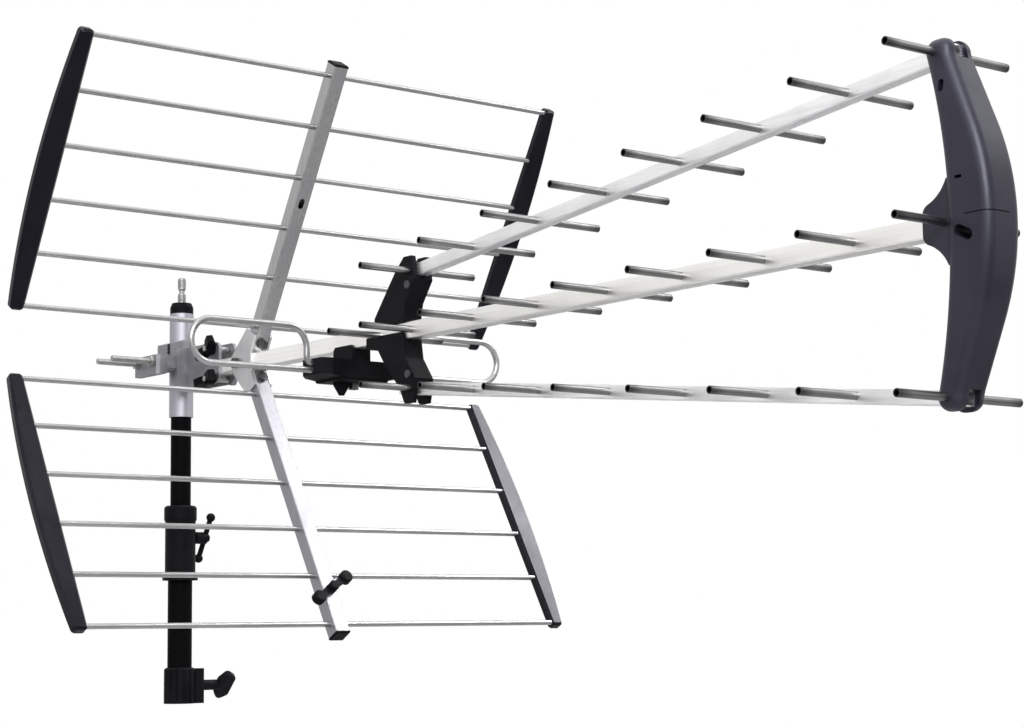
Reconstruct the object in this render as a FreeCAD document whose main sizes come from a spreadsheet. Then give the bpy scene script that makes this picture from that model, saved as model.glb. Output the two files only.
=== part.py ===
# Rooftop television antenna with a corner reflector, three booms and the head of its mast.
# X points where the antenna looks, Y to its left and Z up.
# The origin is on the mast's axis, in the bottom face of the base collar.
import os
import re

import FreeCAD
import Part
import Sketcher

doc = FreeCAD.newDocument("antenna")
sheet = doc.addObject("Spreadsheet::Sheet", "dims")

# Driving sizes, in millimetres and degrees.
sizes = [
    ("boom_z", 352, "height of the main boom's axis"),
    ("fit", 0.05, "clearance of a running or seated fit"),
    # Mast
    ("lower_r", 13, "lower tube, outer radius"),
    ("upper_r", 11, "upper tube, outer radius"),
    ("tube_wall", 1.2, "wall of both mast tubes"),
    ("base_h", 38, "base collar, height"),
    ("base_r", 16.5, "base collar, radius"),
    ("socket_r", 14, "socket for the section below, radius"),
    ("socket_len", 14, "socket for the section below, depth"),
    ("base_boss_y", 27, "screw boss of the base collar, reach"),
    ("base_boss_w", 17, "screw boss of the base collar, width"),
    ("base_screw_z", 19, "height of the base screw"),
    ("screw_r", 4, "radius of the two clamp screws"),
    ("knob_y", 45, "wing of the base screw, near edge"),
    ("knob_len", 19, "wing of the base screw, length along the screw"),
    ("knob_span", 40, "wing of the base screw, span"),
    ("knob_thick", 10, "wing of the base screw, thickness"),
    ("knob_turn", 45, "rest angle of the base screw's wing"),
    ("collar_z", 131, "upper collar, bottom face"),
    ("collar_h", 80, "upper collar, height"),
    ("collar_r", 16.3, "upper collar, radius of the waist"),
    ("collar_foot_r", 19, "upper collar, radius of the foot flange"),
    ("collar_foot_h", 5, "upper collar, height of the foot flange"),
    ("collar_head_r", 17.5, "upper collar, radius of the head"),
    ("collar_head_h", 15, "upper collar, height of the head"),
    ("collar_lip", 46, "depth of the collar's small bore"),
    ("collar_screw_z", 177, "height of the collar screw"),
    ("bar_y", 30, "cross bar of the collar screw, reach"),
    ("bar_r", 2.8, "cross bar of the collar screw, radius"),
    ("bar_span", 60, "cross bar of the collar screw, span"),
    ("ball_r", 4.8, "ball ends of the cross bar, radius"),
    ("bar_turn", 31, "rest angle of the cross bar"),
    ("upper_inside", 112, "length of the upper tube inside the lower one"),
    ("upper_over", 48, "upper tube, end above the boom's axis"),
    ("sleeve_r", 13, "silver sleeve, outer radius"),
    ("sleeve_below", 45, "silver sleeve, length below the boom's axis"),
    ("sleeve_above", 68, "silver sleeve, length above the boom's axis"),
    ("cap_h", 12, "mast cap, height"),
    ("stud_r", 4.2, "top stud, radius"),
    ("stud_len", 28, "top stud, length above the cap"),
    # Mast clamp
    ("clamp_z", 12, "height of the U-bolt over the boom's axis"),
    ("jaw_low", 5, "jaw, bottom over the boom's axis"),
    ("jaw_top", 19, "jaw, top over the boom's axis"),
    ("jaw_foot", 7, "drop of the jaw's outer foot"),
    ("horn_h", 17, "height of the toothed horns over the jaw"),
    ("horn_deep", 9, "depth of the toothed horns"),
    ("clamp_half", 26, "jaw, half length"),
    ("clamp_out", 44, "jaw, outer face"),
    ("clamp_in", 6, "jaw, inner face"),
    ("tooth_deep", 1.2, "depth of the jaw's teeth"),
    ("tooth_high", 1.8, "height of the gap between teeth"),
    ("tooth_pitch", 3.6, "pitch of the jaw's teeth"),
    ("cheek_thick", 3, "thickness of the clamp's cheeks"),
    ("cheek_end", 98, "front end of the cheeks"),
    ("cheek_top", 27, "top of the cheeks over the boom's axis"),
    ("cheek_low", 16.5, "bottom of the cheeks under the boom's axis"),
    ("clamp_bolt_x", 86, "place of the two bolts through the cheeks"),
    ("upper_bolt_z", 20, "upper bolt of the cheeks, height"),
    ("bolt_r", 3, "radius of the bolts and of the U-bolt"),
    ("hex_r", 5.8, "corner radius of the nuts and bolt heads"),
    ("hex_h", 4.5, "height of the nuts and bolt heads"),
    ("leg_end", 93, "threaded ends of the U-bolt"),
    # Main boom
    ("boom_size", 16, "main boom, side of the square"),
    ("boom_wall", 1.5, "main boom, wall"),
    ("boom_rear", 30.3, "main boom, rear end"),
    ("boom_over", 6, "main boom, length past its front director"),
    # Directors
    ("dir_first", 440, "rear director of the three booms"),
    ("dir_pitch", 92.4, "pitch of the directors"),
    ("dir_len", 130, "length of a director"),
    ("dir_r", 3.2, "radius of a director"),
    ("dir_wall", 0.8, "wall of a director"),
    ("dir_extra", 388, "place of the ninth director of the main boom"),
    # Side booms
    ("side_size", 12, "side boom, side of the square"),
    ("side_wall", 1.2, "side boom, wall"),
    ("side_rise", 55, "height of a side boom's axis at its rear director"),
    ("side_slope", 6, "angle between side and main boom"),
    ("side_rear", 22, "length of a side boom behind its rear director"),
    ("side_front", 8, "length of a side boom past its front director"),
    # Reflector
    ("apex_x", 145, "where the lines of both panels cross the boom"),
    ("lean", 30, "lean of the panels from upright"),
    ("rod_r", 2.6, "radius of a rod"),
    ("rod_first", 40.5, "first rod, along the spine"),
    ("rod_pitch", 54.5, "pitch of the rods"),
    ("rod_span", 533, "clear length of the rods between the strips"),
    ("rod_seat", 8, "depth of a rod in its strip"),
    ("spine_size", 16, "spine, side of the square"),
    ("spine_wall", 1.5, "spine, wall"),
    ("spine_start", 16, "inner end of a spine"),
    ("spine_over", 11.5, "length of a spine past its last rod"),
    ("plug_thick", 2.5, "thickness of a spine plug's head"),
    ("plate_thick", 2.5, "thickness of the reflector bracket"),
    ("plate_reach", 34, "length of the bracket along a spine"),
    ("plate_bolt", 25, "bolt of a spine, along the spine"),
    ("plate_rear", 12, "rear bolt of the bracket, behind the crossing"),
    ("strip_thick", 11, "thickness of an end strip"),
    ("strip_end", 14, "width of an end strip at its ends"),
    ("strip_mid", 23, "width of an end strip in its middle"),
    ("strip_back", 1.5, "offset of an end strip behind the rods' plane"),
    ("strip_over", 4.5, "length of an end strip past the rods"),
    ("wing_past", 20.5, "wing screw of the lower spine, past the fifth rod"),
    ("wing_back", 13, "wing screw of the lower spine, reach behind"),
    ("wing_half", 22, "wing screw, distance of a lobe from the screw"),
    ("wing_turn", 31, "angle of the wing to the rods"),
    ("lobe_r", 6.5, "wing screw, radius of a lobe"),
    ("lobe_thick", 8, "wing screw, thickness of a lobe"),
    # Driven element
    ("dipole_x", 330, "plane of the dipole"),
    ("dipole_r", 3, "radius of the dipole's rod"),
    ("dipole_half", 178, "half length of the dipole"),
    ("dipole_gap", 52, "inner end of the dipole's upper run"),
    ("dipole_top", 12, "height of the upper run"),
    ("dipole_low", 29.5, "depth of the lower run"),
    ("dipole_in", 22, "where the dipole ends in the box"),
    ("terminal_low", 23, "depth of the inner ends of the upper run"),
    ("terminal_bend", 7, "bend of the inner ends"),
    ("box_half", 46, "balun box, half length"),
    ("box_shoulder", 26, "balun box, half length of its middle"),
    ("box_wide", 48, "balun box, width along the boom"),
    ("box_top", 20, "balun box, depth of its top"),
    ("box_low", 37, "balun box, depth of its rim"),
    ("box_wall", 2.5, "balun box, wall"),
    ("box_draft", 3, "rise of the rim at the ends of the box"),
    ("saddle_long", 33, "saddle of the box, length along the boom"),
    ("saddle_lip", 4, "height of the saddle's lips beside the boom"),
    ("gland_r", 8, "cable gland, radius at the box"),
    ("gland_tip", 2.6, "cable gland, radius at the tip"),
    ("gland_len", 12.5, "cable gland, length"),
    ("gland_y", 12, "cable gland, distance from the boom's plane"),
    ("cable_r", 5, "cable socket, radius"),
    ("cable_len", 6, "cable socket, length"),
    # Fork
    ("fork_wide", 21, "width of the fork"),
    ("fork_back", 56, "reach of the upper arm behind the rear director"),
    ("fork_heel", 70, "reach of the lower arm behind the rear director"),
    ("fork_gap", 51, "reach of the lower arm's shank behind the rear director"),
    ("fork_lap", 7, "height of the lower arm's cheeks beside the boom"),
    ("fork_prong", 14, "height of the prongs over the side boom's axis"),
    # Spreader
    ("bow_wide", 36, "spreader, width in the middle"),
    ("bow_end_wide", 30, "spreader, width at its ends"),
    ("bow_over", 10, "spreader, height over the side boom's axis"),
    ("bow_belly", 43, "spreader, reach of the middle past the front director"),
    ("bow_tip", 9.5, "spreader, reach of the ends past the front director"),
    ("bow_back", 17, "spreader, reach of the ends behind the front director"),
    ("bow_waist", 4, "spreader, middle of its rear edge past the front director"),
    ("bow_hip", 70, "half height of the round middle of the spreader's front"),
    ("bow_sweep", 21.5, "angle at which the round middle runs out"),
    ("bow_soft", 8, "rounding of the spreader's long edges"),
    ("boss_back", 20, "socket boss, reach behind the front director"),
    ("boss_half", 13, "socket boss, half height of its rear face"),
    ("boss_root", 31, "socket boss, half height where it leaves the bow"),
    ("boss_wide", 27, "socket boss, width"),
]
for row, (alias, number, note) in enumerate(sizes, 1):
    sheet.set(f"A{row}", note)
    sheet.set(f"B{row}", str(number))
    sheet.setAlias(f"B{row}", alias)
doc.recompute()
aliases = {alias for alias, number, note in sizes}

director_count = 8
rod_count = 6
groove_count = 11
tooth_count = 8
along_y = FreeCAD.Rotation(FreeCAD.Vector(1, 0, 0), -90)


def full(text):
    """The expression with the sheet's name before each of its sizes."""
    return re.sub(r"[a-z_]\w*", lambda word: "dims." + word[0] if word[0] in aliases else word[0], str(text))


def value(text):
    return float(sheet.evalExpression(full(text)))


def bind(thing, prop, text):
    thing.setExpression(prop, full(text))


def place(thing, x="0", y="0", z="0"):
    for axis, text in zip("xyz", (x, y, z)):
        bind(thing, f".Placement.Base.{axis}", text)


# Sketch and feature helpers

def new_body(label, x="0", y="0", z="boom_z", turn=None):
    """A body at x, y, z, turned about the Y axis."""
    body = doc.addObject("PartDesign::Body", label)
    body.Label = label
    if turn is not None:
        body.Placement.Rotation = FreeCAD.Rotation(FreeCAD.Vector(0, 1, 0), value(turn))
        bind(body, ".Placement.Rotation.Angle", turn)
    place(body, x, y, z)
    return body


def origin_item(body, role):
    return next(item for item in body.Origin.OriginFeatures if item.Role == role)


def new_sketch(body, plane, offset=None):
    """A sketch on one of the body's own planes, moved along the plane's normal by offset."""
    sketch = body.newObject("Sketcher::SketchObject", body.Label + "_sketch")
    sketch.AttachmentSupport = (origin_item(body, plane + "_Plane"), [""])
    sketch.MapMode = "FlatFace"
    if offset is not None:
        bind(sketch, ".AttachmentOffset.Base.z", offset)
    return sketch


def fix_point(sketch, geometry, point, x, y):
    """Ties a point of a sketch to the sketch's origin."""
    for kind, text in (("DistanceX", x), ("DistanceY", y)):
        index = sketch.addConstraint(Sketcher.Constraint(kind, -1, 1, geometry, point, value(text)))
        bind(sketch, f"Constraints[{index}]", text)


def arc_between(start, end, radius, outward):
    """An arc to the right of its way when outward, and the numbers of its start and end points."""
    chord = end - start
    left = FreeCAD.Vector(-chord.y, chord.x, 0).normalize()
    rise = max(radius ** 2 - (chord.Length / 2) ** 2, 0) ** 0.5
    centre = (start + end) * 0.5 + left * (rise if outward else -rise)
    circle = Part.Circle(centre, FreeCAD.Vector(0, 0, 1), radius)
    first, last = (start, end) if outward else (end, start)
    arc = Part.ArcOfCircle(circle, circle.parameter(first), circle.parameter(last))
    return arc, ((1, 2) if outward else (2, 1))


def outline(sketch, corners, arcs=None, closed=True):
    """Lines and arcs through the corners; arcs gives the radius and side of a curved segment."""
    arcs = arcs or {}
    points = [FreeCAD.Vector(value(x), value(y), 0) for x, y in corners]
    count = len(corners)
    segments = []
    for i in range(count if closed else count - 1):
        start, end = points[i], points[(i + 1) % count]
        if i in arcs:
            radius, outward = arcs[i]
            arc, ends = arc_between(start, end, value(radius), outward)
            segments.append((sketch.addGeometry(arc), *ends))
        else:
            segments.append((sketch.addGeometry(Part.LineSegment(start, end)), 1, 2))
    for i, (geometry, first, last) in enumerate(segments):
        fix_point(sketch, geometry, first, *corners[i])
        if closed or i + 1 < len(segments):
            follower = segments[(i + 1) % len(segments)]
            sketch.addConstraint(Sketcher.Constraint("Coincident", geometry, last, follower[0], follower[1]))
        else:
            fix_point(sketch, geometry, last, *corners[i + 1])
    for i, (radius, outward) in arcs.items():
        index = sketch.addConstraint(Sketcher.Constraint("Radius", segments[i][0], value(radius)))
        bind(sketch, f"Constraints[{index}]", radius)


def rectangle(sketch, x0, y0, x1, y1):
    outline(sketch, [(x0, y0), (x1, y0), (x1, y1), (x0, y1)])


def circle(sketch, x, y, radius):
    ring = Part.Circle(FreeCAD.Vector(value(x), value(y), 0), FreeCAD.Vector(0, 0, 1), value(radius))
    geometry = sketch.addGeometry(ring)
    fix_point(sketch, geometry, 3, x, y)
    index = sketch.addConstraint(Sketcher.Constraint("Radius", geometry, value(radius)))
    bind(sketch, f"Constraints[{index}]", radius)


def slot(sketch, x, y, half, radius, angle):
    """A slot round x, y: half is from its middle to the centre of an end, along the angle."""
    def turned_point(along, across):
        return (f"{x} + ({along}) * cos({angle}) - ({across}) * sin({angle})",
                f"{y} + ({along}) * sin({angle}) + ({across}) * cos({angle})")

    corners = [turned_point(*point) for point in (
        (f"-{half}", f"-{radius}"), (half, f"-{radius}"), (f"{half} + {radius}", "0"),
        (half, radius), (f"-{half}", radius), (f"-{half} - {radius}", "0"))]
    outline(sketch, corners, arcs={i: (radius, True) for i in (1, 2, 4, 5)})


def extrude(body, kind, sketch, length, symmetric=True, turned=False):
    feature = body.newObject("PartDesign::" + kind, body.Label + "_" + kind.lower())
    feature.Profile = sketch
    feature.SideType = "Symmetric" if symmetric else "One side"
    feature.Reversed = turned
    bind(feature, "Length", length)
    body.Tip = feature
    return feature


def revolve(body, corners):
    """Turns a closed outline of radius and height round the body's Z axis."""
    sketch = new_sketch(body, "XZ")
    outline(sketch, corners)
    feature = body.newObject("PartDesign::Revolution", body.Label + "_revolution")
    feature.Profile = sketch
    feature.ReferenceAxis = (origin_item(body, "Z_Axis"), [""])
    feature.Angle = 360
    body.Tip = feature
    return feature


def repeat(body, feature, axis, length, count):
    pattern = body.newObject("PartDesign::LinearPattern", body.Label + "_pattern")
    pattern.Originals = [feature]
    pattern.Direction = (origin_item(body, axis + "_Axis"), [""])
    bind(pattern, "Length", length)
    pattern.Occurrences = count
    body.Tip = pattern
    return pattern


def soften(body, kind, size, wanted):
    """Rounds or chamfers those edges of the body for which wanted is true."""
    doc.recompute()
    base = body.Tip
    names = [f"Edge{i}" for i, edge in enumerate(base.Shape.Edges, 1) if wanted(edge)]
    feature = body.newObject("PartDesign::" + kind, body.Label + "_" + kind.lower())
    feature.Base = (base, names)
    bind(feature, "Radius" if kind == "Fillet" else "Size", size)
    body.Tip = feature
    return feature


def runs_along(edge, axis):
    """Whether a straight edge is parallel to an axis, 0 for X, 1 for Y and 2 for Z."""
    if edge.Curve.TypeId != "Part::GeomLine":
        return False
    return abs(abs(edge.Curve.Direction[axis]) - 1) < 1e-6


def cylinder(name, radius, height, x="0", y="0", z="0", rotation=None):
    made = doc.addObject("Part::Cylinder", name)
    bind(made, "Radius", radius)
    bind(made, "Height", height)
    if rotation is not None:
        made.Placement.Rotation = rotation
    place(made, x, y, z)
    return made


def hexagon(name, height, x, y, z):
    """A hexagonal prism that runs from y toward +Y."""
    made = doc.addObject("Part::Prism", name)
    made.Polygon = 6
    bind(made, "Circumradius", "hex_r")
    bind(made, "Height", height)
    made.Placement.Rotation = along_y
    place(made, x, y, z)
    return made


def joined(kind, label, members):
    """A fusion, or a group of separate solids, of the members."""
    made = doc.addObject("Part::" + kind, label)
    made.Label = label
    if kind == "Compound":
        made.Links = members
    else:
        made.Shapes = members
    return made


def square_tube(body, plane, start, length, size, wall):
    """A square tube along the plane's normal, with its outer edges rounded."""
    sketch = new_sketch(body, plane, start)
    for half in (f"{size} / 2", f"({size} / 2 - {wall})"):
        rectangle(sketch, f"-{half}", f"-{half}", half, half)
    extrude(body, "Pad", sketch, length, symmetric=False)
    axis = {"XY": 2, "YZ": 0}[plane]
    edge_place = value(f"{size} / 2")
    others = [i for i in range(3) if i != axis]

    def outer(edge):
        point = edge.CenterOfMass
        return runs_along(edge, axis) and all(abs(abs(point[i]) - edge_place) < 1e-3 for i in others)

    soften(body, "Fillet", f"{wall} * 0.8", outer)


def cross_holes(body, places, radius, length):
    """Round holes along Y, at places in the body's XZ plane."""
    sketch = new_sketch(body, "XZ")
    for x, z in places:
        circle(sketch, x, z, radius)
    return extrude(body, "Pocket", sketch, length)


# Places that several pieces share

front_x = f"dir_first + {director_count - 1} * dir_pitch"
side_run = f"{director_count - 1} * dir_pitch"
side_front_x = f"dir_first + {side_run} * cos(side_slope)"
side_front_z = f"(side_rise + {side_run} * sin(side_slope))"
boom_front = f"{front_x} + boom_over"
rod_last = f"(rod_first + {rod_count - 1} * rod_pitch)"
spine_end = f"({rod_last} + spine_over)"
spine_turn = {"upper": "lean", "lower": "180 - lean"}
side_sign = {"upper": "1", "lower": "-1"}
leg_x = "(sleeve_r + fit + bolt_r)"
boom_side = "(boom_size / 2 + fit)"
collar_top = "(collar_z + collar_h)"


# Mast

base = new_body("base_collar", z="0")
revolve(base, [
    ("socket_r", "0"), ("base_r", "0"), ("base_r", "base_h - 2"), ("base_r - 2", "base_h"),
    ("lower_r + fit", "base_h"), ("lower_r + fit", "socket_len"), ("socket_r", "socket_len"),
])
boss = new_sketch(base, "XY")
rectangle(boss, "-base_boss_w / 2", "lower_r + 2", "base_boss_w / 2", "base_boss_y")
extrude(base, "Pad", boss, "base_h - 1", symmetric=False)
soften(base, "Fillet", "4",
       lambda edge: runs_along(edge, 2) and edge.CenterOfMass.y > value("base_boss_y") - 1)
grooves = new_sketch(base, "XY")
for step in range(groove_count):
    angle = 140 + step * 260 / (groove_count - 1)
    circle(grooves, f"base_r * cos({angle})", f"base_r * sin({angle})", "1.2")
extrude(base, "Pocket", grooves, "base_h * 4")
screw_hole = new_sketch(base, "XZ", "-lower_r + 1")
circle(screw_hole, "0", "base_screw_z", "screw_r + fit")
extrude(base, "Pocket", screw_hole, "base_boss_y", symmetric=False)


def mast_tube(label, radius, bottom, top):
    tube = new_body(label, z=bottom)
    sketch = new_sketch(tube, "XY")
    circle(sketch, "0", "0", radius)
    circle(sketch, "0", "0", f"{radius} - tube_wall")
    extrude(tube, "Pad", sketch, f"{top} - ({bottom})", symmetric=False)
    return tube


mast_tube("lower_tube", "lower_r", "socket_len + 1", f"{collar_top} - collar_lip")
mast_tube("upper_tube", "upper_r", f"{collar_top} - upper_inside", "boom_z + upper_over")

sleeve = new_body("mast_sleeve", z="boom_z - sleeve_below")
sleeve_ring = new_sketch(sleeve, "XY")
circle(sleeve_ring, "0", "0", "sleeve_r")
circle(sleeve_ring, "0", "0", "upper_r + fit")
extrude(sleeve, "Pad", sleeve_ring, "sleeve_below + sleeve_above", symmetric=False)

collar = new_body("upper_collar", z="collar_z")
revolve(collar, [
    ("lower_r + fit", "0"), ("collar_foot_r", "0"), ("collar_foot_r", "collar_foot_h"),
    ("collar_r", "collar_foot_h + 4"), ("collar_r", "collar_h - collar_head_h - 2"),
    ("collar_head_r", "collar_h - collar_head_h"), ("collar_head_r", "collar_h - 2"),
    ("collar_head_r - 2", "collar_h"), ("upper_r + fit", "collar_h"),
    ("upper_r + fit", "collar_h - collar_lip"), ("lower_r + fit", "collar_h - collar_lip"),
])
collar_hole = new_sketch(collar, "XZ", "-upper_r + 1")
circle(collar_hole, "0", "collar_screw_z - collar_z", "screw_r + fit")
extrude(collar, "Pocket", collar_hole, "collar_head_r", symmetric=False)

cap = new_body("mast_cap", z="boom_z + sleeve_above")
revolve(cap, [
    ("stud_r + fit", "-cap_h"), ("upper_r - 0.3", "-cap_h"), ("upper_r - 0.3", "0"),
    ("sleeve_r - 0.4", "0"), ("sleeve_r - 0.4", "cap_h * 0.6"), ("sleeve_r - 2.5", "cap_h"),
    ("stud_r + fit", "cap_h"),
])

stud = new_body("top_stud", z="boom_z + sleeve_above")
revolve(stud, [
    ("0", "-cap_h"), ("stud_r", "-cap_h"), ("stud_r", "cap_h + stud_len * 0.36"),
    ("stud_r * 0.72", "cap_h + stud_len * 0.42"), ("stud_r * 0.72", "cap_h + stud_len * 0.5"),
    ("stud_r", "cap_h + stud_len * 0.56"), ("stud_r", "cap_h + stud_len - 1.2"),
    ("stud_r - 1.2", "cap_h + stud_len"), ("0", "cap_h + stud_len"),
])

# The base screw has a flat wing and the collar screw a cross bar, each turned about the screw.
knob = new_body("base_knob", z="base_screw_z", turn="knob_turn")
wing = new_sketch(knob, "YZ")
outline(wing, [
    ("knob_y", "-knob_span * 0.2"), ("knob_y + knob_len * 0.4", "-knob_span / 2"),
    ("knob_y + knob_len", "-knob_span * 0.32"), ("knob_y + knob_len", "knob_span * 0.32"),
    ("knob_y + knob_len * 0.4", "knob_span / 2"), ("knob_y", "knob_span * 0.2"),
])
extrude(knob, "Pad", wing, "knob_thick")
soften(knob, "Fillet", "5", lambda edge: runs_along(edge, 0))
soften(knob, "Fillet", "knob_thick * 0.35", lambda edge: not runs_along(edge, 0))
neck = new_sketch(knob, "XZ", "-base_boss_y - 0.3")
circle(neck, "0", "0", "screw_r + 1.6")
extrude(knob, "Pad", neck, "knob_y - base_boss_y + 2", symmetric=False, turned=True)
shank = new_sketch(knob, "XZ", "-lower_r - 0.1")
circle(shank, "0", "0", "screw_r")
extrude(knob, "Pad", shank, "knob_y - lower_r + 2", symmetric=False, turned=True)

bar_knob = new_body("collar_knob", z="collar_screw_z", turn="bar_turn")
bar_shank = new_sketch(bar_knob, "XZ", "-upper_r - 0.1")
circle(bar_shank, "0", "0", "screw_r")
extrude(bar_knob, "Pad", bar_shank, "bar_y + bar_r + 1.5 - upper_r", symmetric=False, turned=True)
bar_hub = new_sketch(bar_knob, "XZ", "-collar_head_r")
circle(bar_hub, "0", "0", "screw_r + 2.5")
extrude(bar_knob, "Pad", bar_hub, "bar_y - collar_head_r + 1", symmetric=False, turned=True)
bar = new_sketch(bar_knob, "YZ")
ball_z = "(bar_span / 2 - ball_r)"
outline(bar, [
    ("bar_y", f"-{ball_z} - ball_r"), ("bar_y + ball_r", f"-{ball_z}"),
    ("bar_y + bar_r", f"-{ball_z} + (ball_r ^ 2 - bar_r ^ 2) ^ 0.5"),
    ("bar_y + bar_r", f"{ball_z} - (ball_r ^ 2 - bar_r ^ 2) ^ 0.5"),
    ("bar_y + ball_r", f"{ball_z}"), ("bar_y", f"{ball_z} + ball_r"),
], arcs={0: ("ball_r", True), 1: ("ball_r", True), 3: ("ball_r", True), 4: ("ball_r", True)})
bar_turned = bar_knob.newObject("PartDesign::Revolution", "collar_knob_bar")
bar_turned.Profile = bar
bar_turned.ReferenceAxis = (bar, ["Edge6"])
bar_turned.Angle = 360
bar_knob.Tip = bar_turned


# Mast clamp

clamp = new_body("clamp_body")
jaw = new_sketch(clamp, "YZ")
horn_top = "(jaw_top + horn_h)"
outline(jaw, [
    ("-clamp_out", "jaw_low - jaw_foot"), ("-clamp_out + 11", "jaw_low - jaw_foot"),
    ("-clamp_out + 11", "jaw_low"), ("-clamp_in", "jaw_low"),
    ("-clamp_in", horn_top), ("-clamp_in - horn_deep", horn_top),
    ("-clamp_in - horn_deep", "jaw_top"), ("-clamp_out", "jaw_top"),
])
extrude(clamp, "Pad", jaw, "clamp_half * 2")
soften(clamp, "Fillet", "2",
       lambda edge: runs_along(edge, 0) and edge.CenterOfMass.y > -value("clamp_out") + 1)
saddle = new_sketch(clamp, "XY", "(cheek_top - cheek_low) / 2")
cheek_out = f"({boom_side} + cheek_thick)"
outline(saddle, [
    ("clamp_half - 2", "-clamp_out / 2"), ("boom_rear - 0.3", "-clamp_out / 2"),
    ("boom_rear - 0.3", f"-{cheek_out}"), ("cheek_end", f"-{cheek_out}"), ("cheek_end", f"-{boom_side}"),
    ("boom_rear - 0.3", f"-{boom_side}"), ("boom_rear - 0.3", boom_side), ("cheek_end", boom_side),
    ("cheek_end", cheek_out), ("clamp_half - 2", cheek_out),
])
extrude(clamp, "Pad", saddle, "cheek_top + cheek_low")
soften(clamp, "Fillet", "8",
       lambda edge: runs_along(edge, 1) and edge.CenterOfMass.x > value("cheek_end") - 1)
soften(clamp, "Chamfer", "3",
       lambda edge: runs_along(edge, 2) and edge.CenterOfMass.y < -value("clamp_out") + 1)


def vee(depth):
    """A right-angled notch whose faces are sleeve_r plus depth from the mast's axis."""
    reach = f"(sleeve_r + fit + {depth}) * 2 ^ 0.5"
    return [("0", f"-{reach}"), (reach, "0"), (f"-{reach}", "0")]


notch = new_sketch(clamp, "XY", "jaw_low - jaw_foot - 1")
outline(notch, vee("0"))
extrude(clamp, "Pocket", notch, f"{horn_top} - jaw_low + jaw_foot + 2", symmetric=False, turned=True)
tooth = new_sketch(clamp, "XY", "jaw_low + 2.5")
outline(tooth, vee("tooth_deep"))
tooth_gap = extrude(clamp, "Pocket", tooth, "tooth_high")
repeat(clamp, tooth_gap, "Z", f"{tooth_count - 1} * tooth_pitch", tooth_count)
cross_holes(clamp, [(f"-{leg_x}", "clamp_z"), (leg_x, "clamp_z")], "bolt_r + fit", "clamp_out * 3")
cheek_bolt_z = f"({boom_side} + bolt_r + 1)"
cross_holes(clamp, [("clamp_bolt_x", "upper_bolt_z"), ("clamp_bolt_x", f"-{cheek_bolt_z}")],
            "bolt_r + fit", "clamp_out * 2")

bend = doc.addObject("Part::Torus", "u_bolt_bend")
bind(bend, "Radius1", leg_x)
bind(bend, "Radius2", "bolt_r")
bend.Angle3 = 180
place(bend, z="boom_z + clamp_z")
legs = [cylinder("u_bolt_leg", "bolt_r", "leg_end", x, "-leg_end", "boom_z + clamp_z", along_y)
        for x in (f"-{leg_x}", leg_x)]
joined("MultiFuse", "u_bolt", [bend] + legs)


def ring_nut(name, x, y, z):
    """A hexagon nut from y toward +Y, with its bore."""
    nut = doc.addObject("Part::Cut", name)
    nut.Base = hexagon(name + "_hexagon", "hex_h", x, y, z)
    nut.Tool = cylinder(name + "_bore", "bolt_r + fit", "hex_h + 2", x, f"{y} - 1", z, along_y)
    return nut


joined("Compound", "u_bolt_nuts", [
    ring_nut("u_bolt_nut", x, "-clamp_out - hex_h", "boom_z + clamp_z") for x in (f"-{leg_x}", leg_x)])


def bolt(name, x, z, near, far):
    """A bolt from near to far along Y, with its hexagon head at the far end."""
    shaft = cylinder(name + "_shaft", "bolt_r", f"{far} - ({near})", x, near, z, along_y)
    return joined("MultiFuse", name, [shaft, hexagon(name + "_head", "hex_h", x, far, z)])


cheek_bolts = ["boom_z + upper_bolt_z", f"boom_z - {cheek_bolt_z}"]
joined("Compound", "clamp_bolts", [
    bolt("clamp_bolt", "clamp_bolt_x", z, f"-{cheek_out} - 11", cheek_out) for z in cheek_bolts])


def wing_nut(name, x, z, turn):
    """A wing nut on the near cheek, with its two wings in a plane turned about Y."""
    nut = new_body(name, x, f"-{cheek_out}", z, turn)
    hub = new_sketch(nut, "XZ")
    circle(hub, "0", "0", "bolt_r * 2")
    extrude(nut, "Pad", hub, "bolt_r * 3", symmetric=False)
    wings = new_sketch(nut, "YZ")
    half = [("-1", "5.5"), ("-3", "11"), ("-9", "18"), ("-15", "16"), ("-13", "7"), ("-9", "0")]
    outline(wings, half + [(y, f"-{z}") for y, z in reversed(half[:-1])])
    extrude(nut, "Pad", wings, "8")
    soften(nut, "Fillet", "1.5", lambda edge: runs_along(edge, 0) and abs(edge.CenterOfMass.z) > 8)
    bore = new_sketch(nut, "XZ")
    circle(bore, "0", "0", "bolt_r + fit")
    extrude(nut, "Pocket", bore, "40")
    return nut


joined("Compound", "wing_nuts", [
    wing_nut("wing_nut_top", "clamp_bolt_x", cheek_bolts[0], "58"),
    wing_nut("wing_nut_low", "clamp_bolt_x", cheek_bolts[1], "75"),
])


# Main boom and directors

boom = new_body("main_boom")
square_tube(boom, "YZ", "boom_rear", f"{boom_front} - boom_rear", "boom_size", "boom_wall")
cross_holes(boom, [("dir_extra", "0")], "dir_r + fit", "boom_size * 2")
cross_holes(boom, [("apex_x - plate_rear", "0")], "bolt_r + fit", "boom_size * 2")
boom_hole = cross_holes(boom, [("dir_first", "0")], "dir_r + fit", "boom_size * 2")
repeat(boom, boom_hole, "X", side_run, director_count)


def director_row(label, x, z, turn, count):
    """Open tubes across a boom, the first one at x, z."""
    row = new_body(label, x, "0", z, turn)
    row.AllowCompound = True
    sketch = new_sketch(row, "XZ")
    circle(sketch, "0", "0", "dir_r")
    circle(sketch, "0", "0", "dir_r - dir_wall")
    tube = extrude(row, "Pad", sketch, "dir_len")
    if count > 1:
        repeat(row, tube, "X", side_run, count)


director_row("directors_main", "dir_first", "boom_z", None, director_count)
director_row("director_rear", "dir_extra", "boom_z", None, 1)

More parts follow.
